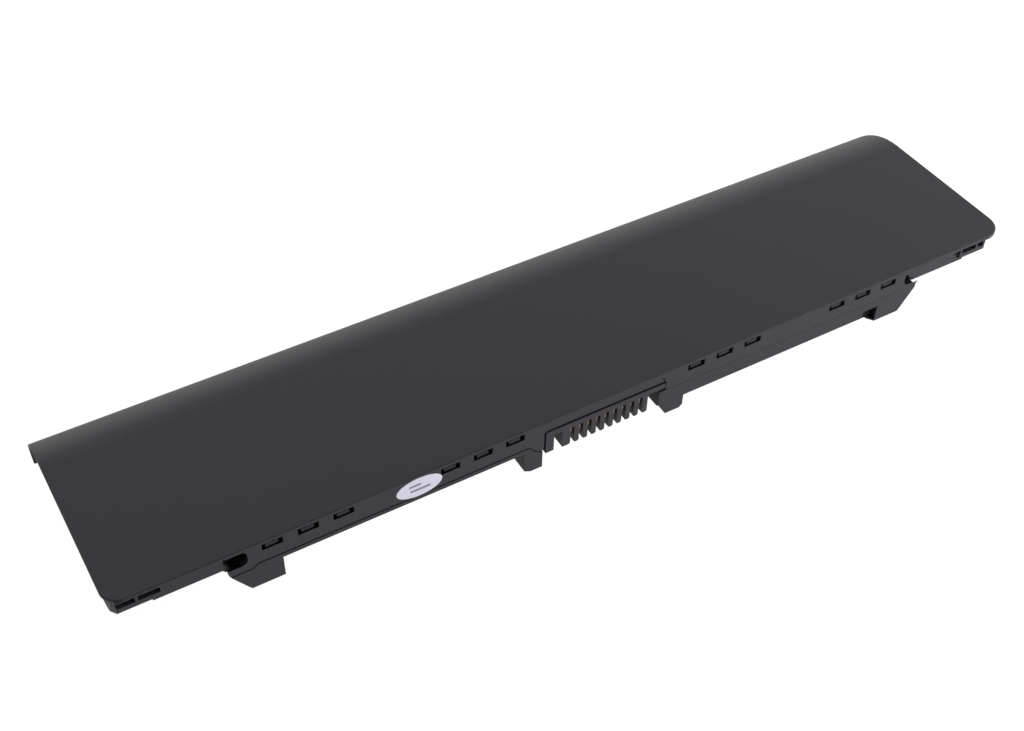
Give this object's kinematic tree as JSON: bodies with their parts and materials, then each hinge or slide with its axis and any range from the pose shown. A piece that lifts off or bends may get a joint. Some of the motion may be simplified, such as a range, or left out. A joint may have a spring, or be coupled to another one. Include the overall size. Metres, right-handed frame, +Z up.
{
  "type": "laptop battery",
  "caption": "Slim laptop battery pack: cylindrical cells in a moulded tray under a cover with a rolled rear edge; the front wall has snap windows, bay hooks and a comb connector.",
  "frame": {"origin": "middle of the flat underside, centred on the whole pack", "axes": "+X along the pack to the right as seen from the front wall, +Y from the front wall to the rolled rear edge, +Z up from the underside to the flat top of the cover"},
  "size_m": [0.2056, 0.0526, 0.021],
  "materials": {
    "cover_plastic": "fine matt texture",
    "case_plastic": "fine matt texture",
    "connector_plastic": "smooth matt",
    "contact_copper": "plated",
    "sticker_paper": "matt",
    "cell_sleeve": "shrink sleeve",
    "ring_paper": "matt",
    "nickel": "rolled",
    "insulating_paper": "matt",
    "foam": "closed cell",
    "adhesive_tape": "satin",
    "board_laminate": "solder mask",
    "chip_plastic": "matt",
    "fuse_ceramic": "satin",
    "resistor_ceramic": "satin",
    "capacitor_ceramic": "satin",
    "bead_epoxy": "gloss",
    "negative_insulation": "satin",
    "positive_insulation": "satin"
  },
  "bodies": {
    "root": {"top_cover": "cover_plastic", "lower_case": "case_plastic", "connector_housing": "connector_plastic", "contact_1": "contact_copper", "contact_2": "contact_copper", "contact_3": "contact_copper", "contact_4": "contact_copper", "contact_5": "contact_copper", "contact_6": "contact_copper", "contact_7": "contact_copper", "contact_8": "contact_copper", "contact_9": "contact_copper", "inspection_sticker": "sticker_paper", "cell_front_1": "cell_sleeve", "cell_rear_1": "cell_sleeve", "cell_front_2": "cell_sleeve", "cell_rear_2": "cell_sleeve", "cell_front_3": "cell_sleeve", "cell_rear_3": "cell_sleeve", "cell_rings": "ring_paper", "negative_strip": "nickel", "link_strip_1": "nickel", "link_strip_2": "nickel", "positive_strip": "nickel", "end_paper_left": "insulating_paper", "end_paper_right": "insulating_paper", "foam_strip_front": "foam", "foam_strip_rear": "foam", "cell_tape_front": "adhesive_tape", "cell_tape_rear": "adhesive_tape", "circuit_board": "board_laminate", "gauge_chip": "chip_plastic", "protection_chip": "chip_plastic", "charge_transistor": "chip_plastic", "discharge_transistor": "chip_plastic", "sense_resistor": "resistor_ceramic", "board_fuse": "fuse_ceramic", "board_capacitors": "capacitor_ceramic", "thermistor": "bead_epoxy", "negative_lead": "negative_insulation", "positive_lead": "positive_insulation"}
  },
  "joints": []
}
